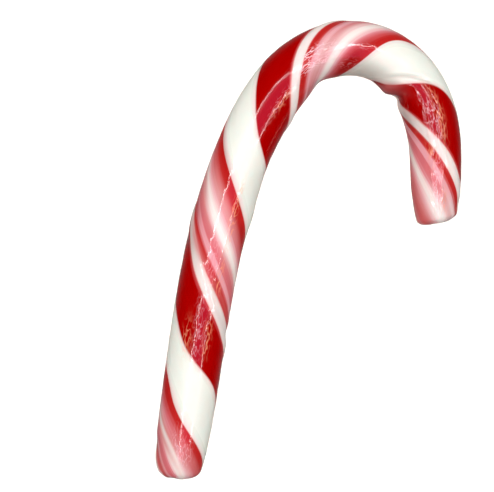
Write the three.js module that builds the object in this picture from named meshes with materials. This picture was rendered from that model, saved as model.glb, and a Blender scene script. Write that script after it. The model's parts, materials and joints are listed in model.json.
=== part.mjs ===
// A candy cane: one rod of pulled sugar, bent over into a crook, lying on its side.
//
// Millimetres, +Z up. The stick runs along +Y and the crook opens towards +X. The cane rests on
// the plane z = 0 along a narrow flat, where the warm sugar lay while it set. The origin is on
// that plane, under the middle of the cane's outline.
//
// The rod is first turned straight, with unit radius, and then every point of it is carried to
// its place. A point is known by its distance along the rod from the cut end and by its angle
// round the rod: 0 is on top, 90 on the inside of the crook, 180 underneath.

import * as THREE from 'three';
import { mergeVertices } from 'three/addons/utils/BufferGeometryUtils.js';

const { degToRad, smoothstep } = THREE.MathUtils;

// The rod
const ROD_LENGTH = 198.4;
const STICK_RADIUS = 7.85;
const CROOK_RADIUS = 7.5;
const THINNING = { from: 115, to: 129 };
const FLAT_DEPTH = 0.035; // how far the underside is pressed in, as a part of the radius

// Each bend turns the rod clockwise, seen from above, over its own stretch. A bend of less than
// nothing turns it the other way.
const BENDS = [
  { name: 'lean', from: 35, to: 209, degrees: 52 },
  { name: 'shoulder', from: 95, to: 153, degrees: 27.5 },
  { name: 'hook', from: 113, to: 184, degrees: 95 },
  { name: 'easing', from: 172, to: 206, degrees: -8 },
];
const START_HEADING = 90; // along +Y

// The rod's strands wind round it. The even twist is tighter or looser over some stretches.
const START_TWIST = -6;
const TWIST_PER_MM = 5.18;
const TWIST_CHANGES = [
  { from: -18, to: 41, degrees: 28 },
  { from: 93, to: 191, degrees: 115 },
  { from: 158, to: 223, degrees: -51 },
];

// One thin strand stands proud of the others and makes a ridge that winds with the twist.
const RIDGE = { angle: 307, height: 0.3, spread: 9 };

// Marks of the bending: hollows pinched into the rod, and a bulge (a hollow less than nothing).
const MARKS = [
  { name: 'pinch', at: 158.6, around: 90, depth: 1.6, reach: 1.8, spread: 40 },
  { name: 'bulge', at: 154.5, around: 90, depth: -0.7, reach: 3.5, spread: 45 },
  { name: 'dent', at: 124.5, around: 90, depth: 0.9, reach: 3.3, spread: 45 },
  { name: 'hollow', at: 178, around: 90, depth: 0.3, reach: 5, spread: 45 },
  { name: 'thumb', at: 9, around: 270, depth: 0.4, reach: 2.5, spread: 40 },
  { name: 'corner', at: 1.5, around: 270, depth: 0.4, reach: 2.5, spread: 45 },
];

// The ends. Each narrows over its last stretch, and is rounded off over the length of its cap:
// a squareness of 2 makes the cap an ellipse, and a larger one flattens its face.
const CUT_END = { narrowing: 1.9, reach: 8.5, cap: 3.8, squareness: 3, slant: 0.03 };
const TIP_END = { narrowing: 2.7, reach: 7, cap: 2.4, squareness: 2.8, slant: 0.1 };
const SLANT_REACH = 12;

// The mesh
const SIDES = 32;
const SIDE_RINGS = 128;
const CAP_RINGS = 6;
const CENTRELINE_STEP = 0.25;

// The direction in which the rod runs at a distance along it, as an angle from +X.
function heading(along) {
  let degrees = START_HEADING;
  for (const bend of BENDS) {
    degrees -= bend.degrees * smoothstep(along, bend.from, bend.to);
  }
  return degToRad(degrees);
}

// The rod's middle line in plan, as points one step apart, found by following the heading.
function layCentreline() {
  const points = [new THREE.Vector2(0, 0)];
  for (let along = CENTRELINE_STEP / 2; along < ROD_LENGTH; along += CENTRELINE_STEP) {
    const angle = heading(along);
    const step = new THREE.Vector2(Math.cos(angle), Math.sin(angle)).multiplyScalar(CENTRELINE_STEP);
    points.push(points.at(-1).clone().add(step));
  }
  return points;
}

const centreline = layCentreline();

// The middle of the rod in plan at a distance along it. Past either end the line runs straight on.
function middle(along) {
  const place = along / CENTRELINE_STEP;
  const index = THREE.MathUtils.clamp(Math.floor(place), 0, centreline.length - 2);
  return centreline[index].clone().lerp(centreline[index + 1], place - index);
}

// How far the strands have wound round the rod, in degrees, since its cut end.
function twist(along) {
  let degrees = START_TWIST + TWIST_PER_MM * along;
  for (const change of TWIST_CHANGES) {
    const wound = smoothstep(along, change.from, change.to) - smoothstep(0, change.from, change.to);
    degrees += change.degrees * wound;
  }
  return degrees;
}

// A smooth hill, 1 at its top and nearly 0 at three spreads away from it.
function hill(distance, spread) {
  return Math.exp(-0.5 * (distance / spread) ** 2);
}

// The smaller angle between two directions round the rod, in degrees.
function angleBetween(first, second) {
  return THREE.MathUtils.euclideanModulo(first - second + 180, 360) - 180;
}

// The rod's own radius, without its ridge and marks.
function plainRadius(along) {
  const body = THREE.MathUtils.lerp(
    STICK_RADIUS, CROOK_RADIUS, smoothstep(along, THINNING.from, THINNING.to));
  const cutEnd = CUT_END.narrowing * Math.exp(-along / CUT_END.reach);
  const tipEnd = TIP_END.narrowing * Math.exp(-(ROD_LENGTH - along) / TIP_END.reach);
  return body - cutEnd - tipEnd;
}

// The surface's distance from the middle line, in the direction given in degrees.
function surfaceRadius(along, around) {
  let radius = plainRadius(along);
  radius += RIDGE.height * hill(angleBetween(around + twist(along), RIDGE.angle), RIDGE.spread);
  for (const mark of MARKS) {
    const sideways = hill(angleBetween(around, mark.around), mark.spread);
    radius -= mark.depth * hill(along - mark.at, mark.reach) * sideways;
  }
  return radius;
}

// How far a cut across the rod runs on ahead, for a point that lies aside of the middle line.
function slant(along, aside) {
  const cutEnd = CUT_END.slant * (1 - smoothstep(along, 0, SLANT_REACH));
  const tipEnd = TIP_END.slant * smoothstep(along, ROD_LENGTH - SLANT_REACH, ROD_LENGTH);
  return aside * (cutEnd + tipEnd);
}

// The rounded end of a rod of unit radius, from its middle out to its rim: each point holds the
// distance from the axis and the distance in from the end.
function capProfile(end) {
  const points = [];
  for (let ring = 0; ring < CAP_RINGS; ring++) {
    const angle = (ring / CAP_RINGS) * (Math.PI / 2);
    const out = Math.sin(angle) ** (2 / end.squareness);
    const inset = end.cap * (1 - Math.cos(angle) ** (2 / end.squareness));
    points.push(new THREE.Vector2(out, inset));
  }
  return points;
}

// The straight rod of unit radius, turned about the Y axis from its cut end to its tip.
function turnRod() {
  const profile = capProfile(CUT_END);
  const straight = ROD_LENGTH - CUT_END.cap - TIP_END.cap;
  for (let ring = 0; ring <= SIDE_RINGS; ring++) {
    profile.push(new THREE.Vector2(1, CUT_END.cap + (ring / SIDE_RINGS) * straight));
  }
  for (const point of capProfile(TIP_END).reverse()) {
    profile.push(new THREE.Vector2(point.x, ROD_LENGTH - point.y));
  }
  return new THREE.LatheGeometry(profile, SIDES);
}

// Carries a point of the straight rod to its place on the cane.
function carry(point) {
  const around = Math.atan2(point.x, point.z);
  const out = Math.hypot(point.x, point.z) * surfaceRadius(point.y, THREE.MathUtils.radToDeg(around));
  const aside = out * Math.sin(around);
  const along = point.y + slant(point.y, aside);
  const angle = heading(along);
  const plan = middle(along);
  const height = plainRadius(point.y) * (1 - FLAT_DEPTH) + out * Math.cos(around);
  point.set(
    plan.x + aside * Math.sin(angle),
    plan.y - aside * Math.cos(angle),
    Math.max(height, 0));
}

// The cane's closed surface, with the origin under the middle of its outline.
function caneGeometry() {
  const rod = turnRod();
  rod.deleteAttribute('normal');
  rod.deleteAttribute('uv');
  const place = rod.getAttribute('position');
  const point = new THREE.Vector3();
  for (let index = 0; index < place.count; index++) {
    point.fromBufferAttribute(place, index);
    carry(point);
    place.setXYZ(index, point.x, point.y, point.z);
  }
  const geometry = mergeVertices(rod);
  geometry.computeBoundingBox();
  const centre = geometry.boundingBox.getCenter(new THREE.Vector3());
  geometry.translate(-centre.x, -centre.y, 0);
  geometry.computeVertexNormals();
  return geometry;
}

const sugar = new THREE.MeshStandardMaterial({ color: 0xb9252a, roughness: 0.18, metalness: 0 });

const cane = new THREE.Mesh(caneGeometry(), sugar);
cane.name = 'cane';

const candyCane = new THREE.Group();
candyCane.add(cane);

export default candyCane;
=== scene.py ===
import json
import math
from collections import namedtuple

import bpy
import numpy as np
from mathutils import Matrix, Vector

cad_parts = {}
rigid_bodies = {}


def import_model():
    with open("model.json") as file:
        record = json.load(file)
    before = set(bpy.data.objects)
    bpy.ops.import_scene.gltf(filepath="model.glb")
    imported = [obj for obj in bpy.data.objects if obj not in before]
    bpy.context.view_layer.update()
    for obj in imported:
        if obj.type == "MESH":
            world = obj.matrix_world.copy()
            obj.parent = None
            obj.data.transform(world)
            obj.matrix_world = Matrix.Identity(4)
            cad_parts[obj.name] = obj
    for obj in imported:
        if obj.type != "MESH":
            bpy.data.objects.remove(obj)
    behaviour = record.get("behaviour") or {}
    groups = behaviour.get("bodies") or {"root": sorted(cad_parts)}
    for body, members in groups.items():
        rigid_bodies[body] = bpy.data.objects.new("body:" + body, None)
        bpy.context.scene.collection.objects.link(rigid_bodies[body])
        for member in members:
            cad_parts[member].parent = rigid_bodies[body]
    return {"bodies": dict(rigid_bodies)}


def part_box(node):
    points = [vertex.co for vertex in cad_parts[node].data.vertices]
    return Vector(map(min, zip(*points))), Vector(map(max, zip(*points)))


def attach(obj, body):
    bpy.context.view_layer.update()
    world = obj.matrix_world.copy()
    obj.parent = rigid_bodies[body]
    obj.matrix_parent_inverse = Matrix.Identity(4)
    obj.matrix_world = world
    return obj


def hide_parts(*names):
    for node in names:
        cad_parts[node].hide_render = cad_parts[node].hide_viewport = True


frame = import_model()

bl_info = {
    "name": "Candy Cane",
    "version": (1, 0, 0),
    "blender": (4, 5, 0),
    "location": "3D View > Sidebar > Candy Cane",
    "description": "Makes a pulled sugar cane with twisted red, pink and white strands",
    "category": "Add Mesh",
}

# Places come from the frame. The cane lies on the plane z = 0, with its stick along +Y and its
# crook towards +X.
CANE_LOW, CANE_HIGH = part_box("cane")
CANE_MIDDLE = (CANE_LOW + CANE_HIGH) / 2
CANE_BODY = next(iter(frame["bodies"]))

# The rod and its spots are worked out in millimetres and degrees, and all else is in metres.
MILLIMETRE = 0.001

# A point of the rod is known by its distance along the rod from the cut end, and by its angle
# around the rod: 0 is on top and 90 is on the inside of the crook. Its strand angle is that angle
# plus the twist so far, so that it stays the same all along a strand.
START_HEADING = 90.0
BENDS = (  # (where it starts, where it ends, how far it turns), clockwise from above
    (35.0, 209.0, 52.0),
    (95.0, 153.0, 27.5),
    (113.0, 184.0, 95.0),
    (172.0, 206.0, -8.0),
)
THINNING = (115.0, 129.0)  # where the stick's radius turns into the crook's
START_TWIST = -6.0
TWIST_CHANGES = (  # (where it starts, where it ends, degrees more than the even twist)
    (-18.0, 41.0, 28.0),
    (93.0, 191.0, 115.0),
    (158.0, 223.0, -51.0),
)
RIDGE_ANGLE = 307.0  # strand angle
RIDGE_SPREAD = 9.0

# Each end narrows over its reach, and is rounded off over the length of its cap: a squareness of 2
# makes the cap an ellipse, and a larger one flattens its face.
CUT_END = {"narrowing": 1.9, "reach": 8.5, "cap": 3.8, "squareness": 3.0, "slant": 0.03}
TIP_END = {"narrowing": 2.15, "reach": 8.3, "cap": 2.3, "squareness": 2.9, "slant": 0.14}
SLANT_REACH = 12.0  # how far from an end its slant fades away
CAP_RINGS = 24
CENTRELINE_STEP = 0.05

# Waves that are summed for the soft ripples along the rod, and for the broken faces of its ends
RIPPLE_WAVES = 26
RIPPLE_SEED = 7
BREAK_WAVES = 8
BREAK_SEED = 3
BREAK_RIM = (0.6, 0.97)  # shares of the radius between which the broken face dies away

# Each row of the tables below is one soft-edged spot on the rod. Its reach is in millimetres and
# its spread in degrees.
MARKS = (  # (along, around, depth, reach along, spread around): hollows, or swellings under 0
    (158.8, 90.0, 1.65, 1.9, 40.0),
    (154.5, 90.0, -0.7, 3.5, 45.0),
    (124.5, 90.0, 0.9, 3.3, 45.0),
    (178.0, 90.0, 0.3, 5.0, 45.0),
    (194.5, 270.0, 0.45, 2.8, 45.0),
    (93.0, 85.0, 0.25, 4.0, 28.0),
    (77.0, 85.0, -0.45, 3.5, 28.0),
    (42.7, 88.0, 0.32, 1.3, 26.0),
    (12.0, 270.0, -0.2, 2.0, 30.0),
    (9.0, 270.0, 0.4, 2.5, 40.0),
    (1.5, 270.0, 0.4, 2.5, 45.0),
)
DRIFTS = (  # (along, strand, degrees a strand wanders, reach along, spread around)
    (3.0, 12.0, -21.0, 7.0, 28.0),
    (17.0, 95.0, -7.0, 5.0, 16.0),
    (30.0, 105.0, 9.0, 4.0, 16.0),
    (27.0, 205.0, 14.0, 4.0, 25.0),
    (39.0, 197.0, -6.0, 4.0, 18.0),
    (71.0, 300.0, 21.0, 6.5, 20.0),
    (90.0, 56.0, -9.0, 8.0, 14.0),
    (90.0, 205.0, 13.0, 3.5, 20.0),
    (100.0, 192.0, -9.0, 5.0, 20.0),
    (96.0, 95.0, -6.0, 5.0, 15.0),
    (96.0, 198.0, -4.0, 5.0, 10.0),
    (113.0, 316.0, -7.0, 5.0, 9.0),
    (124.0, 291.0, 5.0, 6.0, 10.0),
    (140.0, 100.0, 10.0, 3.5, 20.0),
    (148.0, 92.0, -15.0, 3.5, 20.0),
    (154.0, 205.0, 19.0, 3.5, 26.0),
    (163.0, 193.0, -9.0, 3.5, 24.0),
    (171.0, 302.0, 8.0, 4.5, 18.0),
    (184.0, 291.0, 4.0, 6.0, 9.0),
)
CRACKLES = (  # (along, around, strength, reach along, spread around): patches of broken gloss
    (9.0, 5.0, 0.7, 4.0, 16.0),
    (42.0, 8.0, 0.5, 5.0, 12.0),
    (57.0, 12.0, 0.8, 5.0, 8.0),
    (75.0, 22.0, 0.6, 6.0, 6.0),
    (112.0, 20.0, 0.5, 5.0, 6.0),
    (124.0, 4.0, 1.0, 4.0, 14.0),
    (131.0, 2.0, 0.9, 4.0, 14.0),
    (137.0, 38.0, 0.5, 4.0, 16.0),
    (165.0, 0.0, 1.0, 5.0, 20.0),
    (173.0, 0.0, 1.0, 5.0, 20.0),
    (183.0, 5.0, 0.9, 6.0, 14.0),
    (192.0, 0.0, 0.9, 5.0, 14.0),
)
PAINTED_GLINTS = (  # (along, around, strength, reach along, spread around): painted pale glints
    (8.0, 12.0, 0.8, 2.5, 9.0),
    (11.0, -10.0, 0.7, 3.0, 8.0),
    (37.4, -2.0, 0.4, 2.0, 6.0),
    (42.6, 3.0, 0.5, 3.0, 5.0),
    (48.0, -4.0, 0.5, 4.0, 5.0),
    (62.0, 4.0, 0.5, 6.0, 5.0),
    (112.0, 18.0, 0.6, 5.0, 4.0),
    (124.0, 11.0, 2.0, 2.0, 6.0),
    (125.8, -10.0, 2.0, 2.0, 5.0),
    (129.3, 14.0, 1.2, 2.0, 6.0),
    (130.5, -13.0, 1.3, 2.0, 6.0),
    (136.0, 36.0, 0.3, 3.0, 8.0),
    (139.0, -4.0, 0.6, 3.0, 4.0),
    (166.5, 1.0, 0.6, 3.0, 8.0),
    (172.5, -4.0, 0.7, 4.0, 8.0),
    (184.0, 5.0, 0.7, 6.0, 5.0),
    (191.5, -1.0, 0.9, 4.0, 7.0),
)
AMBER_GLINTS = (  # (along, around, strength, reach along, spread around): painted amber reflections
    (38.9, 20.0, 0.9, 2.0, 4.0),
    (41.0, -22.0, 1.0, 3.0, 6.0),
    (43.5, 20.0, 1.0, 2.5, 5.0),
    (57.2, 24.0, 1.0, 2.5, 5.0),
    (62.5, 24.0, 0.9, 2.0, 4.0),
    (72.0, 27.0, 0.8, 3.0, 3.5),
    (79.0, 21.0, 1.6, 4.0, 3.5),
    (111.3, 22.0, 0.9, 3.0, 4.0),
    (166.0, -14.0, 0.8, 4.0, 5.0),
    (171.0, -17.0, 0.8, 4.0, 5.0),
    (178.0, 14.0, 0.8, 3.0, 7.0),
    (192.0, -12.0, 0.6, 3.0, 7.0),
)
INNER_SHADES = (  # (along, around, strength, reach along, spread around): painted shade inside the crook
    (142.0, 52.0, 0.4, 11.0, 24.0),
    (142.0, 95.0, 0.2, 11.0, 20.0),
    (120.0, 86.0, 0.2, 8.0, 20.0),
    (166.0, 60.0, 0.4, 5.0, 14.0),
)
FADES = (  # (along, strand, strength, reach along, spread around): reds washed out to pink
    (192.0, 75.0, 0.6, 10.0, 22.0),
    (153.5, 223.0, 0.7, 2.0, 10.0),
    (9.0, 52.0, 0.6, 5.0, 10.0),
    (6.0, 66.0, 0.35, 6.0, 8.0),
    (12.0, 16.0, 0.8, 5.0, 6.0),
    (16.0, 38.0, 0.8, 7.0, 4.0),
    (62.0, 20.0, 0.7, 5.0, 5.0),
    (67.0, 322.0, 0.7, 5.0, 5.0),
    (79.0, 14.0, 0.5, 4.0, 5.0),
    (83.0, 23.0, 1.0, 4.5, 6.0),
    (154.0, 246.0, 0.5, 3.0, 9.0),
    (78.0, 66.0, 0.8, 6.0, 7.0),
    (195.0, 106.0, 0.8, 7.0, 10.0),
    (54.0, 329.0, 0.35, 10.0, 6.0),
    (3.0, 325.0, 0.6, 6.0, 14.0),
)
DEEPS = (  # (along, strand, strength, reach along, spread around): reds pulled thicker and deeper
    (137.0, 82.0, 0.9, 3.5, 12.0),
    (91.0, 92.0, 0.5, 6.0, 8.0),
    (69.0, 82.0, 0.6, 4.0, 8.0),
    (78.0, 346.0, 0.7, 4.0, 6.0),
    (30.0, 92.0, 0.4, 6.0, 8.0),
)
CLOUDS = (  # (along, strand, strength, reach along, spread around): white spread into the pinks
    (72.0, 31.0, 0.7, 9.0, 10.0),
    (79.0, 58.0, 0.2, 6.0, 9.0),
    (128.0, 1.0, 0.35, 5.0, 10.0),
    (133.0, 32.0, 0.7, 8.0, 8.0),
    (138.0, 14.0, 0.4, 4.0, 6.0),
    (196.0, 30.0, 0.8, 5.0, 18.0),
    (196.0, 351.0, 0.5, 4.0, 8.0),
    (3.0, 30.0, 0.3, 5.0, 10.0),
)
SHADES = (  # (along, strand, strength, reach along, spread around): shade on the ridge and crease
    (47.0, 303.0, 0.2, 4.0, 8.0),
    (68.0, 309.0, 0.4, 4.5, 10.0),
    (170.0, 301.0, 0.2, 4.0, 8.0),
    (156.0, 190.5, 0.4, 3.0, 2.5),
)
FOLDS = (  # (along, strand, depth, reach along, spread around): a crease, and the roll beside it
    (156.0, 188.0, 0.4, 3.5, 4.0),
    (156.0, 180.0, -0.2, 3.5, 5.0),
)

# The sugar's pattern. Each noise is drawn out along the rod by its stretch.
PINKS_MIDDLE = 15.0  # strand angle
WHITE_MIDDLE = 151.0  # strand angle
WANDER = 0.012  # share of a turn that every strand's edge wanders
PINKS_WANDER = 0.05  # and how much more it is among the pinks
STREAK_NOISE = {"scale": 1.1, "stretch": 26.0, "detail": 2.0}
GROOVE_NOISE = {"scale": 1.4, "stretch": 12.0, "detail": 3.0}
GROOVE_HEIGHT = 0.012
CRACKLE_NOISE = {"scale": 0.8, "stretch": 2.2, "detail": 1.0}
CRACKLE_HEIGHT = 0.32
# Noise and narrowness of the painted pale glints
GLINT_NOISE = {"scale": 1.1, "stretch": 3.0, "detail": 1.5}
GLINT_NARROWNESS = 19.0
# Noise and narrowness of the painted amber reflections
AMBER_GLINT_NOISE = {"scale": 1.0, "stretch": 3.0, "detail": 1.5}
AMBER_GLINT_NARROWNESS = 12.0
LINE_STRENGTH = 0.75
CORE_EDGE = (0.5, 0.68)  # shares of the radius between which the white core ends
SATIN_EDGE = (0.78, 0.88)  # cosines of the angle from the white's middle

# The stage
STRAIGHT_UP = Vector((0.0, 0.0, 1.0))
AIM_OFFSET = Vector((-0.01946, 0.00099, 0.0))  # from the cane's middle to the middle of the view
KEY_SIZE = 0.016  # side of the square light at the lens
SENSOR_WIDTH = 36.0  # of the camera, in millimetres

# The panel that shows in the gloss hangs level above the cane. Its edges are known by how far they
# lean from straight up, in degrees, as seen from the cane's middle.
PANEL_HEIGHT = 0.6
PANEL_EDGES = {"left": -17.0, "right": 31.0, "near": -38.0, "far": 17.0}
STRIP_WIDTHS = {"left": 0.045, "right": 0.05, "far": 0.04}
PANEL_COLOUR = (1.0, 0.12, 0.3)

# What every colour setting has
COLOUR = {"subtype": "COLOR", "size": 3, "min": 0.0, "max": 1.0}


def screen_colour(red, green, blue):
    """A screen colour, 0 to 255 each, as the linear colour that Blender's nodes take."""
    screen = np.array([red, green, blue]) / 255.0
    linear = np.where(screen <= 0.04045, screen / 12.92, ((screen + 0.055) / 1.055) ** 2.4)
    return tuple(float(part) for part in linear)


class CaneShape(bpy.types.PropertyGroup):
    """Sizes of the rod that the cane is bent from."""

    rod_length: bpy.props.FloatProperty(
        name="Rod length", description="Length along the middle of the rod, from its cut end to its tip",
        default=198.4 * MILLIMETRE, unit="LENGTH")
    stick_radius: bpy.props.FloatProperty(
        name="Stick radius", description="Radius of the straight part",
        default=7.85 * MILLIMETRE, unit="LENGTH")
    crook_radius: bpy.props.FloatProperty(
        name="Crook radius", description="Radius of the rod where it is bent over",
        default=7.5 * MILLIMETRE, unit="LENGTH")
    ridge_height: bpy.props.FloatProperty(
        name="Ridge height", description="How far the thin white strand stands proud",
        default=0.3 * MILLIMETRE, unit="LENGTH")
    flat_depth: bpy.props.FloatProperty(
        name="Flat depth", description="How far the underside is pressed in, as a part of the radius",
        default=0.035, min=0.0, max=0.2)
    twist_per_metre: bpy.props.FloatProperty(
        name="Twist", description="Degrees that the strands wind round the rod in each metre of it",
        default=5180.0)
    ripple_height: bpy.props.FloatProperty(
        name="Ripple height", description="Height of the pulled sugar's soft ripples",
        default=0.014 * MILLIMETRE, unit="LENGTH")
    break_height: bpy.props.FloatProperty(
        name="Break height", description="Roughness of the snapped ends",
        default=0.12 * MILLIMETRE, unit="LENGTH")
    rings: bpy.props.IntProperty(
        name="Rings", description="Rings of points along the rod", default=540, min=60)
    sides: bpy.props.IntProperty(
        name="Sides", description="Points in each ring", default=176, min=16)


class CaneSugar(bpy.types.PropertyGroup):
    """Colours and gloss of the sugar."""

    white: bpy.props.FloatVectorProperty(
        name="White", description="The opaque white strand, and the core that the ends show",
        default=screen_colour(228, 229, 220), **COLOUR)
    ridge_white: bpy.props.FloatVectorProperty(
        name="Ridge white", description="The thin white strand and the white streak",
        default=screen_colour(231, 219, 215), **COLOUR)
    cloud_white: bpy.props.FloatVectorProperty(
        name="Cloud white", description="White that has spread into the pinks",
        default=screen_colour(242, 234, 230), **COLOUR)
    cream: bpy.props.FloatVectorProperty(
        name="Cream", description="Where white takes a little colour from its neighbour",
        default=screen_colour(231, 210, 204), **COLOUR)
    pale_pink: bpy.props.FloatVectorProperty(
        name="Pale pink", description="The palest lines among the pink",
        default=screen_colour(222, 154, 161), **COLOUR)
    pink: bpy.props.FloatVectorProperty(
        name="Pink", description="The pink strands",
        default=screen_colour(206, 106, 112), **COLOUR)
    rose: bpy.props.FloatVectorProperty(
        name="Rose", description="Between pink and red",
        default=screen_colour(196, 74, 76), **COLOUR)
    bright_red: bpy.props.FloatVectorProperty(
        name="Bright red", description="The narrow red strands",
        default=screen_colour(185, 36, 34), **COLOUR)
    faded_red: bpy.props.FloatVectorProperty(
        name="Faded red", description="Red that is washed out in spots",
        default=screen_colour(206, 112, 112), **COLOUR)
    deep_red: bpy.props.FloatVectorProperty(
        name="Deep red", description="The widest red strand",
        default=screen_colour(160, 0, 0), **COLOUR)
    # Painted shade, multiplied into the colour on the inside of the crook and on the ridge and crease
    painted_shade: bpy.props.FloatVectorProperty(
        name="Shade", description="Tinge of handling, and shade on the ridge and crease, multiplied in",
        default=screen_colour(132, 90, 80), **COLOUR)
    # Painted glints: pale lines that stand in for the gloss where the sugar is broken up
    painted_glint: bpy.props.FloatVectorProperty(
        name="Glint", description="Pale wandering lines where the sugar is broken up",
        default=screen_colour(246, 204, 212), **COLOUR)
    # Painted reflection of a warm light, as amber lines where the sugar is broken up
    amber_glint: bpy.props.FloatVectorProperty(
        name="Amber", description="Warm wandering lines where the sugar is broken up",
        default=screen_colour(244, 160, 124), **COLOUR)
    roughness: bpy.props.FloatProperty(
        name="Roughness", description="Roughness of the glossy sugar", default=0.1, min=0.0, max=1.0)
    satin: bpy.props.FloatProperty(
        name="Satin", description="Roughness of the white strand", default=0.42, min=0.0, max=1.0)
    glow: bpy.props.FloatProperty(
        name="Glow", description="Share of light that passes into the sugar and out again",
        default=0.3, min=0.0, max=1.0)
    glow_depth: bpy.props.FloatProperty(
        name="Glow depth", description="How far red light travels in the sugar",
        default=1.6 * MILLIMETRE, unit="LENGTH")


class CaneStage(bpy.types.PropertyGroup):
    """Floor, lights and camera."""

    floor_colour: bpy.props.FloatVectorProperty(
        name="Floor", description="Colour of the floor", default=(0.93, 0.91, 0.85), **COLOUR)
    floor_size: bpy.props.FloatProperty(
        name="Floor size", description="Side of the square floor", default=3.0, unit="LENGTH")
    key_power: bpy.props.FloatProperty(
        name="Key light", description="Power of the light at the lens", default=0.8, unit="POWER")
    fill_strength: bpy.props.FloatProperty(
        name="Fill", description="Strength of the even, shadowless light from overhead",
        default=2.6, min=0.0)
    fill_lean: bpy.props.FloatProperty(
        name="Fill lean", description="How far the light from overhead leans in from the crook's end",
        default=math.radians(12.0), subtype="ANGLE")
    sky_strength: bpy.props.FloatProperty(
        name="Sky", description="Strength of the even light from all around", default=0.06, min=0.0)
    sky_rise: bpy.props.FloatProperty(
        name="Rise", description="Brightness of the room straight below, as it shows in the gloss",
        default=0.38, min=0.0)
    panel_brightness: bpy.props.FloatProperty(
        name="Panel", description="Brightness of the wide panel seen in the gloss", default=2.1, min=0.0)
    strip_brightness: bpy.props.FloatProperty(
        name="Strips", description="Brightness of the strips along the panel's edges",
        default=22.0, min=0.0)
    camera_distance: bpy.props.FloatProperty(
        name="Camera distance", description="From the lens to the middle of the view",
        default=0.417, unit="LENGTH")
    camera_tilt: bpy.props.FloatProperty(
        name="Camera tilt", description="Lean of the camera's line of sight from straight down",
        default=math.radians(4.6), subtype="ANGLE")
    camera_turn: bpy.props.FloatProperty(
        name="Camera turn", description="How far the stick leans over in the view",
        default=math.radians(8.5), subtype="ANGLE")
    focal_length: bpy.props.FloatProperty(
        name="Focal length", description="Of the camera, in millimetres", default=109.3)


# ---------------------------------------------------------------- the rod's shape


def smooth_step(value, low, high):
    """Rises from 0 at low to 1 at high along 3t^2 - 2t^3, where t is the share of the way."""
    share = np.clip((value - low) / (high - low), 0.0, 1.0)
    return share * share * (3.0 - 2.0 * share)


def hill(distance, spread):
    """A smooth hill: e to the power of minus half the square of distance over spread."""
    return np.exp(-0.5 * (distance / spread) ** 2)


def angle_between(first, second):
    """The smaller angle from second to first, in degrees."""
    return (first - second + 180.0) % 360.0 - 180.0


def heading(along):
    """The rod's direction in plan, in radians from +X: the start less each bend's share so far."""
    degrees = START_HEADING - sum(turn * smooth_step(along, low, high) for low, high, turn in BENDS)
    return np.radians(degrees)


def middle_line(along, length):
    """The rod's middle in plan: the sum of short steps in the direction of the heading."""
    stations = np.arange(0.0, length + 2 * CENTRELINE_STEP, CENTRELINE_STEP)
    between = heading(stations[:-1] + CENTRELINE_STEP / 2)
    x = np.concatenate(([0.0], np.cumsum(np.cos(between)) * CENTRELINE_STEP))
    y = np.concatenate(([0.0], np.cumsum(np.sin(between)) * CENTRELINE_STEP))
    return np.interp(along, stations, x), np.interp(along, stations, y)


def twist(along, per_millimetre):
    """Degrees that the strands have wound: an even twist plus each change's share so far."""
    wound = START_TWIST + per_millimetre * along
    for low, high, degrees in TWIST_CHANGES:
        wound = wound + degrees * (smooth_step(along, low, high) - smooth_step(0.0, low, high))
    return wound


def plain_radius(along, length, stick_radius, crook_radius):
    """The stick's radius, blended to the crook's, less an exponential narrowing at each end."""
    body = stick_radius + (crook_radius - stick_radius) * smooth_step(along, *THINNING)
    cut_end = CUT_END["narrowing"] * np.exp(-along / CUT_END["reach"])
    tip_end = TIP_END["narrowing"] * np.exp(-(length - along) / TIP_END["reach"])
    return body - cut_end - tip_end


def ripples(along, strand, generator):
    """Soft unevenness of pulled sugar: a sum of sine waves, each with 3 to 21 lobes round the rod,
    9 to 40 millimetres long, and as high as 1 over its lobes. The sum is scaled to a height of
    about 1."""
    total = np.zeros(np.broadcast(along, strand).shape)
    weights = 0.0
    for _ in range(RIPPLE_WAVES):
        lobes = generator.integers(3, 22)
        wave_length = generator.uniform(9.0, 40.0)
        phase = generator.uniform(0.0, 2.0 * math.pi)
        weight = 1.0 / lobes
        weights += weight * weight
        total += weight * np.sin(lobes * np.radians(strand) + 2.0 * math.pi * along / wave_length + phase)
    return total / math.sqrt(0.5 * weights)


def broken_face(aside, above, generator):
    """Roughness of a snapped end: a sum of sine waves across the face, each 3 to 9 millimetres long
    and in its own direction. The sum is scaled to a height of about 1."""
    total = np.zeros(aside.shape)
    for _ in range(BREAK_WAVES):
        direction = generator.uniform(0.0, 2.0 * math.pi)
        wave_length = generator.uniform(3.0, 9.0)
        phase = generator.uniform(0.0, 2.0 * math.pi)
        distance = aside * math.cos(direction) + above * math.sin(direction)
        total += np.sin(2.0 * math.pi * distance / wave_length + phase)
    return total / math.sqrt(0.5 * BREAK_WAVES)


def scattered_hills(places, along, angle):
    """The sum of smooth hills, each at its own distance along and its own angle."""
    return sum(
        height * hill(along - place, reach) * hill(angle_between(angle, side), spread)
        for place, side, height, reach, spread in places)


def cap_profile(end, count):
    """The rounded end of a rod of unit radius, from its middle to its rim: a superellipse, as the
    distance out from the axis and the distance in from the end."""
    angle = np.linspace(0.0, math.pi / 2, count, endpoint=False)
    power = 2.0 / end["squareness"]
    out = np.sin(angle) ** power
    inset = end["cap"] * (1.0 - np.cos(angle) ** power)
    return out, inset


def rod_profile(length, rings):
    """The straight rod's profile from end to end: distance out, 0 to 1, and distance along."""
    cut_out, cut_inset = cap_profile(CUT_END, CAP_RINGS)
    tip_out, tip_inset = cap_profile(TIP_END, CAP_RINGS)
    side = np.linspace(CUT_END["cap"], length - TIP_END["cap"], rings - 2 * CAP_RINGS)
    out = np.concatenate((cut_out, np.ones_like(side), tip_out[::-1]))
    along = np.concatenate((cut_inset, side, length - tip_inset[::-1]))
    return out, along


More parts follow.
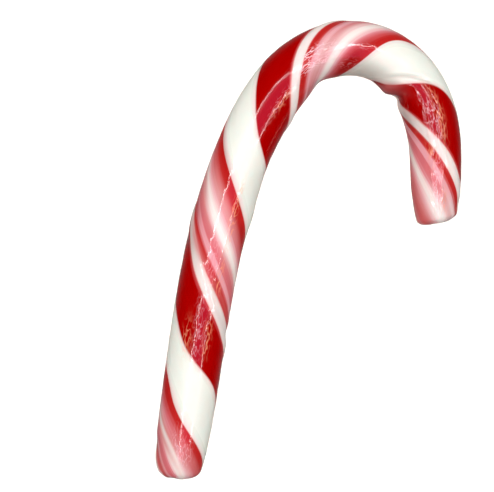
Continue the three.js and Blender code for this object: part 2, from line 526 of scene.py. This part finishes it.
def rod_grid(shape):
    """The straight rod on a grid, with a row for each ring and a column for each side: the share of
    the radius, the distance along, the angle around, and the strand angle, which is that angle
    plus the twist. The profile's two ends are left out, because each is a single point."""
    out, along = rod_profile(shape.rod_length / MILLIMETRE, shape.rings)
    out, along = out[1:-1, None], along[1:-1, None]
    around = np.arange(shape.sides)[None, :] * (360.0 / shape.sides)
    strand = around + twist(along, shape.twist_per_metre * MILLIMETRE)
    return out, along, around, strand


def surface_radius(shape, plain, along, around, strand):
    """The surface's distance from the middle line: the plain radius, plus the ridge, less the
    hollows and the folds, plus the ripples."""
    ridge = shape.ridge_height / MILLIMETRE * hill(angle_between(strand, RIDGE_ANGLE), RIDGE_SPREAD)
    hollows = scattered_hills(MARKS, along, around) + scattered_hills(FOLDS, along, strand)
    rippled = ripples(along, strand, np.random.default_rng(RIPPLE_SEED))
    return plain + ridge - hollows + shape.ripple_height / MILLIMETRE * rippled


def cane_points(shape, grid):
    """The grid carried to its place on the cane, in millimetres. A ring is the circle
    out * radius * (sin around, cos around) in the plane across the heading, on a middle line that
    stands just under one radius high. What would reach below the floor is pressed flat."""
    out, along, around, strand = grid
    length = shape.rod_length / MILLIMETRE
    plain = plain_radius(along, length, shape.stick_radius / MILLIMETRE, shape.crook_radius / MILLIMETRE)
    radius = surface_radius(shape, plain, along, around, strand)
    aside = out * radius * np.sin(np.radians(around))
    above = out * radius * np.cos(np.radians(around))
    cut_slant = CUT_END["slant"] * (1.0 - smooth_step(along, 0.0, SLANT_REACH))
    tip_slant = TIP_END["slant"] * smooth_step(along, length - SLANT_REACH, length)
    inside = 1.0 - smooth_step(out, *BREAK_RIM)
    face = broken_face(aside, above, np.random.default_rng(BREAK_SEED))
    place = along + aside * (cut_slant + tip_slant) + shape.break_height / MILLIMETRE * inside * face
    angle = heading(place)
    middle_x, middle_y = middle_line(place, length)
    x = middle_x + aside * np.sin(angle)
    y = middle_y - aside * np.cos(angle)
    z = np.maximum(plain * (1.0 - shape.flat_depth) + above, 0.0)
    return np.stack((x, y, z), -1)


def sugar_readings(shape, grid):
    """What the sugar reads at each point of the grid. Two are places on the straight rod, as
    reach * (cos, sin) of the angle and the distance along: one by the strand angle, less each
    drift, and one by the angle around. The others are the share of the radius and the spots."""
    out, along, around, strand = grid
    reach = shape.stick_radius / MILLIMETRE * out

    def on_rod(degrees):
        turn = np.radians(degrees)
        return np.stack(np.broadcast_arrays(reach * np.cos(turn), reach * np.sin(turn), along), -1)

    return {
        "strand": on_rod(strand - scattered_hills(DRIFTS, along, strand)),
        "rod": on_rod(around),
        "out": np.broadcast_to(out, strand.shape),
        "crackle": scattered_hills(CRACKLES, along, around),
        "painted_glint": scattered_hills(PAINTED_GLINTS, along, around),
        "amber_glint": scattered_hills(AMBER_GLINTS, along, around),
        # Painted shade on the inside of the crook, and on the ridge and crease
        "painted_shade": scattered_hills(INNER_SHADES, along, around) + scattered_hills(SHADES, along, strand),
        "fade": scattered_hills(FADES, along, strand),
        "deep": scattered_hills(DEEPS, along, strand),
        "cloud": scattered_hills(CLOUDS, along, strand),
    }


def with_poles(values):
    """A grid's values as one list, with the middle of the first ring put before them and that of
    the last ring after."""
    first, last = values[:1].mean(1), values[-1:].mean(1)
    return np.concatenate((first, values.reshape(-1, *values.shape[2:]), last))


def ring_faces(rings, sides):
    """Faces of a closed surface of rings between two poles. Each ring's points follow the one
    before, the first pole is point 0 and the last pole is the last point."""
    ring = np.arange(rings - 1)[:, None] * sides + 1
    side = np.arange(sides)[None, :]
    following = (side + 1) % sides
    quads = np.stack((ring + side, ring + following, ring + sides + following, ring + sides + side), -1)
    last = rings * sides + 1
    around, onward = side[0], following[0]
    first_fan = np.stack((np.zeros(sides, int), onward + 1, around + 1), -1)
    last_ring = last - sides
    last_fan = np.stack((np.full(sides, last), last_ring + around, last_ring + onward), -1)
    return quads.reshape(-1, 4).tolist() + first_fan.tolist() + last_fan.tolist()


def centre_on_frame(points):
    """Moves the points so that the middle of their box is over the middle of the frame's box in
    plan, and their lowest point is level with its floor."""
    low, high = points.min(0), points.max(0)
    shift = np.array(CANE_MIDDLE) - (low + high) / 2
    shift[2] = CANE_LOW.z - low[2]
    return points + shift


def add_attribute(mesh, name, values):
    """Stores one number or vector for each point of the mesh."""
    kind, key = ("FLOAT", "value") if values.ndim == 1 else ("FLOAT_VECTOR", "vector")
    attribute = mesh.attributes.new(name, kind, "POINT")
    attribute.data.foreach_set(key, np.ascontiguousarray(values, np.float32).ravel())


def link_new(name, data):
    """A new object of that data in the scene."""
    made = bpy.data.objects.new(name, data)
    bpy.context.scene.collection.objects.link(made)
    return made


def make_cane(shape):
    """The whole cane as one closed mesh, with the attributes that its sugar reads."""
    grid = rod_grid(shape)
    points = cane_points(shape, grid)
    rings, sides = points.shape[:2]
    mesh = bpy.data.meshes.new("candy_cane")
    mesh.from_pydata(centre_on_frame(with_poles(points) * MILLIMETRE), [], ring_faces(rings, sides))
    mesh.polygons.foreach_set("use_smooth", np.ones(len(mesh.polygons), bool))
    for name, values in sugar_readings(shape, grid).items():
        add_attribute(mesh, name, with_poles(values))
    mesh.validate()
    mesh.update()
    return link_new("candy_cane", mesh)


# ---------------------------------------------------------------- the sugar


def strand_stops(sugar):
    """The strands' colours round the rod: (angle in degrees, colour), in order."""
    white, ridge, cream, pale = sugar.white, sugar.ridge_white, sugar.cream, sugar.pale_pink
    pink, rose, bright, deep = sugar.pink, sugar.rose, sugar.bright_red, sugar.deep_red
    return (
        # the pinks, with a white streak among them
        (2, pink), (12, pink), (20, pale), (27, cream), (33, ridge), (40, cream), (48, pale), (59, pink),
        # a narrow red strand
        (70, rose), (82, bright), (97.5, bright),
        # the wide white strand
        (101, cream), (105, ridge), (112, white), (186, white), (196.5, cream),
        # the wide red strand
        (200.5, deep), (283, deep), (288, rose),
        # the thin white strand on the ridge
        (292, cream), (297, ridge), (311, ridge), (316, cream),
        # another narrow red strand
        (320, rose), (324, bright), (334, bright), (337, rose),
        # a pale line, and the pinks again
        (343, pale), (352, pale), (358, pink),
    )


class Tree:
    """A small helper that adds nodes to the tree of a material or a world, and joins them."""

    def __init__(self, owner):
        owner.use_nodes = True
        self.nodes = owner.node_tree.nodes
        self.links = owner.node_tree.links

    def fill(self, node, inputs):
        """Gives a node's inputs their values, or joins them to other sockets."""
        for key, value in inputs.items():
            if isinstance(value, bpy.types.NodeSocket):
                self.links.new(value, node.inputs[key])
            else:
                node.inputs[key].default_value = value

    def add(self, kind, inputs=None, **settings):
        """Adds a node, sets its properties and fills its inputs."""
        node = self.nodes.new(kind)
        for name, value in settings.items():
            setattr(node, name, value)
        self.fill(node, inputs or {})
        return node

    def attribute(self, name, output="Fac"):
        """What the mesh stores under a name, as one number or as a vector."""
        return self.add("ShaderNodeAttribute", attribute_name=name).outputs[output]

    def maths(self, operation, *values):
        """The outcome of one operation on up to three numbers or sockets."""
        return self.add("ShaderNodeMath", dict(enumerate(values)), operation=operation).outputs[0]

    def mix(self, share, first, second, blend="MIX"):
        """Blends a socket's colour with a fixed one by a share, or multiplies the two."""
        inputs = {0: share, 6: first, 7: (*second, 1.0)}
        return self.add("ShaderNodeMix", inputs, data_type="RGBA", blend_type=blend).outputs[2]

    def map_range(self, value, start, end, to_start=0.0, to_end=1.0):
        """A value carried evenly from one range to another, and held at its ends."""
        inputs = {
            "Value": value, "From Min": start, "From Max": end, "To Min": to_start, "To Max": to_end}
        return self.add("ShaderNodeMapRange", inputs).outputs[0]


def strand_share(tree, strand):
    """The strand angle as a share of a turn, 0 to 1, from its cosine and sine."""
    parts = tree.add("ShaderNodeSeparateXYZ", {0: strand})
    angle = tree.maths("ARCTAN2", parts.outputs[1], parts.outputs[0])
    return tree.maths("FRACT", tree.maths("DIVIDE", angle, 2.0 * math.pi))


def drawn_noise(tree, vector, scale, stretch, detail):
    """Noise that is drawn out along the strands, or along the rod, by the stretch."""
    inputs = {0: vector, 1: (1.0, 1.0, 1.0 / stretch)}
    drawn = tree.add("ShaderNodeVectorMath", inputs, operation="MULTIPLY").outputs[0]
    return tree.add("ShaderNodeTexNoise", {"Vector": drawn, "Scale": scale, "Detail": detail}).outputs[0]


def strand_colours(tree, place, stops):
    """A ramp of the stops, looked up by a share of a turn."""
    ramp = tree.add("ShaderNodeValToRGB", {0: place})
    elements = ramp.color_ramp.elements
    while len(elements) < len(stops):
        elements.new(0.5)
    for element, (degrees, colour) in zip(elements, stops):
        element.position = degrees / 360.0
        element.color = (*colour, 1.0)
    return ramp.outputs[0]


def cosine_from(tree, place, degrees):
    """The cosine of the angle between a place, as a share of a turn, and a strand angle."""
    turned = tree.maths("SUBTRACT", place, degrees / 360.0)
    return tree.maths("COSINE", tree.maths("MULTIPLY", turned, 2.0 * math.pi))


def streaked_place(tree, strand):
    """The strand angle as a share of a turn, moved to and fro by drawn-out noise: a little at the
    crisp edges, and more among the pinks, by the square of half of 1 plus the cosine of the angle
    from the pinks' middle."""
    share = strand_share(tree, strand)
    softness = tree.maths("MULTIPLY_ADD", cosine_from(tree, share, PINKS_MIDDLE), 0.5, 0.5)
    reach = tree.maths("MULTIPLY_ADD", tree.maths("POWER", softness, 2.0), PINKS_WANDER, WANDER)
    noise = tree.maths("SUBTRACT", drawn_noise(tree, strand, **STREAK_NOISE), 0.5)
    moved = tree.maths("MULTIPLY_ADD", noise, reach, share)
    return tree.maths("FRACT", tree.maths("ADD", moved, 1.0))


def broken_lines(tree, rod, patch, noise, narrowness):
    """Lines that wander along the rod: where noise crosses its middle value, within the patches."""
    off_middle = tree.maths("ABSOLUTE", tree.maths("SUBTRACT", drawn_noise(tree, rod, **noise), 0.5))
    line = tree.maths("SUBTRACT", 1.0, tree.maths("MULTIPLY", off_middle, narrowness))
    strength = tree.maths("MULTIPLY", tree.attribute(patch), LINE_STRENGTH)
    return tree.maths("MULTIPLY", tree.maths("MAXIMUM", line, 0.0), strength)


def sugar_relief(tree, strand, rod):
    """Height in millimetres: fine grooves along the strands, and a crackle in the rough patches."""
    grooves = tree.maths("MULTIPLY", drawn_noise(tree, strand, **GROOVE_NOISE), GROOVE_HEIGHT)
    rough = tree.maths("MULTIPLY", drawn_noise(tree, rod, **CRACKLE_NOISE), tree.attribute("crackle"))
    return tree.maths("ADD", grooves, tree.maths("MULTIPLY", rough, CRACKLE_HEIGHT))


def sugar_colour(tree, sugar, place, rod):
    """The strands' colours, then each thing that lies over them in turn: the faded, deepened and
    clouded spots, the painted glints and painted amber reflections, the white core of the ends, and the
    painted shade."""
    colour = strand_colours(tree, place, strand_stops(sugar))
    core = tree.map_range(tree.attribute("out"), *CORE_EDGE, 1.0, 0.0)
    layers = (
        (tree.attribute("fade"), sugar.faded_red),
        (tree.attribute("deep"), sugar.deep_red),
        (tree.attribute("cloud"), sugar.cloud_white),
        # Painted pale glints
        (broken_lines(tree, rod, "painted_glint", GLINT_NOISE, GLINT_NARROWNESS), sugar.painted_glint),
        # Painted amber reflections
        (broken_lines(tree, rod, "amber_glint", AMBER_GLINT_NOISE, AMBER_GLINT_NARROWNESS), sugar.amber_glint),
        (core, sugar.white),
    )
    for share, over in layers:
        colour = tree.mix(share, colour, over)
    # Painted shade, multiplied in
    return tree.mix(tree.attribute("painted_shade"), colour, sugar.painted_shade, "MULTIPLY")


def sugar_material(sugar):
    """Glossy pulled sugar that glows a little, with strands of colour that wind with the rod and
    are streaked along their length. The middle of the white strand is satiny."""
    material = bpy.data.materials.new("pulled_sugar")
    tree = Tree(material)
    strand = tree.attribute("strand", "Vector")
    rod = tree.attribute("rod", "Vector")
    place = streaked_place(tree, strand)
    relief = {"Height": sugar_relief(tree, strand, rod), "Distance": MILLIMETRE}
    satin = tree.map_range(cosine_from(tree, place, WHITE_MIDDLE), *SATIN_EDGE)
    tree.fill(tree.nodes["Principled BSDF"], {
        "Base Color": sugar_colour(tree, sugar, place, rod),
        "Normal": tree.add("ShaderNodeBump", relief).outputs[0],
        "Roughness": tree.map_range(satin, 0.0, 1.0, sugar.roughness, sugar.satin),
        "IOR": 1.5,
        "Subsurface Weight": sugar.glow,
        "Subsurface Radius": (1.0, 0.3, 0.25),
        "Subsurface Scale": sugar.glow_depth,
    })
    return material


# ---------------------------------------------------------------- the stage


def floor_material(colour):
    """A plain, pale, matt surface."""
    material = bpy.data.materials.new("floor_white")
    tree = Tree(material)
    tree.fill(tree.nodes["Principled BSDF"], {
        "Base Color": (*colour, 1.0),
        "Roughness": 0.8,
        "Specular IOR Level": 0.2,
    })
    return material


def lay_floor(stage):
    """A square floor, which doesn't show in the gloss."""
    half = stage.floor_size / 2
    corners = [(-half, -half, 0.0), (half, -half, 0.0), (half, half, 0.0), (-half, half, 0.0)]
    mesh = bpy.data.meshes.new("floor")
    mesh.from_pydata(corners, [], [(0, 1, 2, 3)])
    mesh.materials.append(floor_material(stage.floor_colour))
    floor = link_new("floor", mesh)
    floor.visible_glossy = False


def room_light(strength, rise):
    """A world of even white light. The camera sees it plain white past the floor. In the gloss it
    is dark above the horizon, and below it is the rise times the square of the direction's drop."""
    world = bpy.data.worlds.new("room")
    tree = Tree(world)
    rays = tree.add("ShaderNodeLightPath").outputs
    direction = tree.add("ShaderNodeTexCoord").outputs["Generated"]
    drop = tree.maths("MINIMUM", tree.add("ShaderNodeSeparateXYZ", {0: direction}).outputs[2], 0.0)
    below = tree.maths("MULTIPLY", tree.maths("MULTIPLY", drop, drop), rise)
    plain = tree.maths("MULTIPLY", tree.maths("SUBTRACT", 1.0, rays["Is Glossy Ray"]), strength)
    level = tree.maths("MULTIPLY_ADD", rays["Is Glossy Ray"], below, plain)
    tree.fill(tree.nodes["Background"], {
        "Color": (1.0, 1.0, 1.0, 1.0),
        "Strength": tree.maths("MAXIMUM", level, rays["Is Camera Ray"]),
    })
    return world


View = namedtuple("View", "right level up back lens")


def find_view(stage):
    """How the camera stands: its right, its up laid level, its up and its back, tilted from
    straight down and then turned, and the place of its lens."""
    turn, tilt = stage.camera_turn, stage.camera_tilt
    right = Vector((math.cos(turn), math.sin(turn), 0.0))
    level = Vector((-math.sin(turn), math.cos(turn), 0.0))
    up = level * math.cos(tilt) - STRAIGHT_UP * math.sin(tilt)
    back = level * math.sin(tilt) + STRAIGHT_UP * math.cos(tilt)
    return View(right, level, up, back, CANE_MIDDLE + AIM_OFFSET + back * stage.camera_distance)


def turned_to(right, up, back, place):
    """The matrix that puts a light or camera at a place, with its own axes along three directions."""
    return Matrix.Translation(place) @ Matrix((right, up, back)).transposed().to_4x4()


def area_light(name, power, place, size, back, along):
    """A rectangular light at a place, facing away from its back, with its size's second side along
    a direction."""
    light = bpy.data.lights.new(name, "AREA")
    light.shape = "RECTANGLE"
    light.size, light.size_y = size
    light.energy = power
    made = link_new(name, light)
    across = along.cross(back).normalized()
    made.matrix_world = turned_to(across, back.cross(across), back, place)
    return made


def gloss_light(name, brightness, start, end, width, colour=(1.0, 1.0, 1.0)):
    """A light that faces down and shows only in the gloss, as long as the way from its start to its
    end and centred on it. Its power is its brightness times pi times its area."""
    length = (end - start).length
    power = brightness * math.pi * width * length
    made = area_light(name, power, (start + end) / 2, (width, length), STRAIGHT_UP, end - start)
    made.data.color = colour
    made.visible_diffuse = False


def hang_even_lights(stage, view):
    """A small light at the lens and an even, shadowless one from overhead, both out of the gloss."""
    key = area_light("key_light", stage.key_power, view.lens, (KEY_SIZE, KEY_SIZE), view.back, view.up)
    key.visible_glossy = False
    fill = link_new("fill_light", bpy.data.lights.new("fill_light", "SUN"))
    fill.data.energy = stage.fill_strength
    fill.data.use_shadow = False
    fill.rotation_euler = (-stage.fill_lean, 0.0, 0.0)
    fill.visible_glossy = False


def hang_gloss_lights(stage, view):
    """A wide level panel, and a strip along each of its edges but the near one. A corner is over the
    cane's middle by the panel's height, and aside by that height times the tangent of each lean."""

    def corner(side, end):
        aside = view.right * math.tan(math.radians(PANEL_EDGES[side]))
        onward = view.level * math.tan(math.radians(PANEL_EDGES[end]))
        return CANE_MIDDLE + (aside + onward + STRAIGHT_UP) * PANEL_HEIGHT

    near_left, near_right = corner("left", "near"), corner("right", "near")
    far_left, far_right = corner("left", "far"), corner("right", "far")
    near_middle, far_middle = (near_left + near_right) / 2, (far_left + far_right) / 2
    width = (near_right - near_left).length
    gloss_light("panel", stage.panel_brightness, near_middle, far_middle, width, PANEL_COLOUR)
    strips = {"left": (near_left, far_left), "right": (near_right, far_right), "far": (far_left, far_right)}
    for edge, (start, end) in strips.items():
        gloss_light("strip", stage.strip_brightness, start, end, STRIP_WIDTHS[edge])


def place_camera(stage, view):
    """The camera above the cane, leaning a little over the crook."""
    camera = link_new("camera", bpy.data.cameras.new("camera"))
    camera.data.lens = stage.focal_length
    camera.data.sensor_width = SENSOR_WIDTH
    camera.matrix_world = turned_to(view.right, view.up, view.back, view.lens)
    return camera


# ---------------------------------------------------------------- the add-on


class CANDYCANE_OT_cane(bpy.types.Operator):
    """Make the twisted, bent rod of sugar"""

    bl_idname = "candycane.cane"
    bl_label = "Cane"

    def execute(self, context):
        scene = context.scene
        cane = make_cane(scene.cane_shape)
        cane.data.materials.append(sugar_material(scene.cane_sugar))
        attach(cane, CANE_BODY)
        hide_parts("cane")
        return {"FINISHED"}


class CANDYCANE_OT_stage(bpy.types.Operator):
    """Lay the floor, hang the lights and set the camera above the cane"""

    bl_idname = "candycane.stage"
    bl_label = "Stage"

    def execute(self, context):
        scene = context.scene
        stage = scene.cane_stage
        view = find_view(stage)
        lay_floor(stage)
        scene.world = room_light(stage.sky_strength, stage.sky_rise)
        scene.view_settings.view_transform = "Standard"
        hang_even_lights(stage, view)
        hang_gloss_lights(stage, view)
        scene.camera = place_camera(stage, view)
        return {"FINISHED"}


class CANDYCANE_PT_panel(bpy.types.Panel):
    """Lists the cane's makers and their settings"""

    bl_idname = "CANDYCANE_PT_panel"
    bl_label = "Candy Cane"
    bl_space_type = "VIEW_3D"
    bl_region_type = "UI"
    bl_category = "Candy Cane"

    def draw(self, context):
        layout = self.layout
        for group in (context.scene.cane_shape, context.scene.cane_sugar, context.scene.cane_stage):
            box = layout.box()
            for name in group.__annotations__:
                box.prop(group, name)
        for operator in OPERATORS:
            layout.operator(operator.bl_idname)


OPERATORS = (CANDYCANE_OT_cane, CANDYCANE_OT_stage)
CLASSES = (CaneShape, CaneSugar, CaneStage, *OPERATORS, CANDYCANE_PT_panel)


def register():
    """Adds the classes, and their settings to the scene."""
    for made in CLASSES:
        bpy.utils.register_class(made)
    bpy.types.Scene.cane_shape = bpy.props.PointerProperty(type=CaneShape)
    bpy.types.Scene.cane_sugar = bpy.props.PointerProperty(type=CaneSugar)
    bpy.types.Scene.cane_stage = bpy.props.PointerProperty(type=CaneStage)


def unregister():
    """Takes the settings and the classes away again."""
    del bpy.types.Scene.cane_shape, bpy.types.Scene.cane_sugar, bpy.types.Scene.cane_stage
    for made in reversed(CLASSES):
        bpy.utils.unregister_class(made)


def main():
    """Makes the cane and its stage."""
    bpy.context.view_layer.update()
    register()
    bpy.ops.candycane.cane()
    bpy.ops.candycane.stage()


if __name__ == "__main__":
    main()
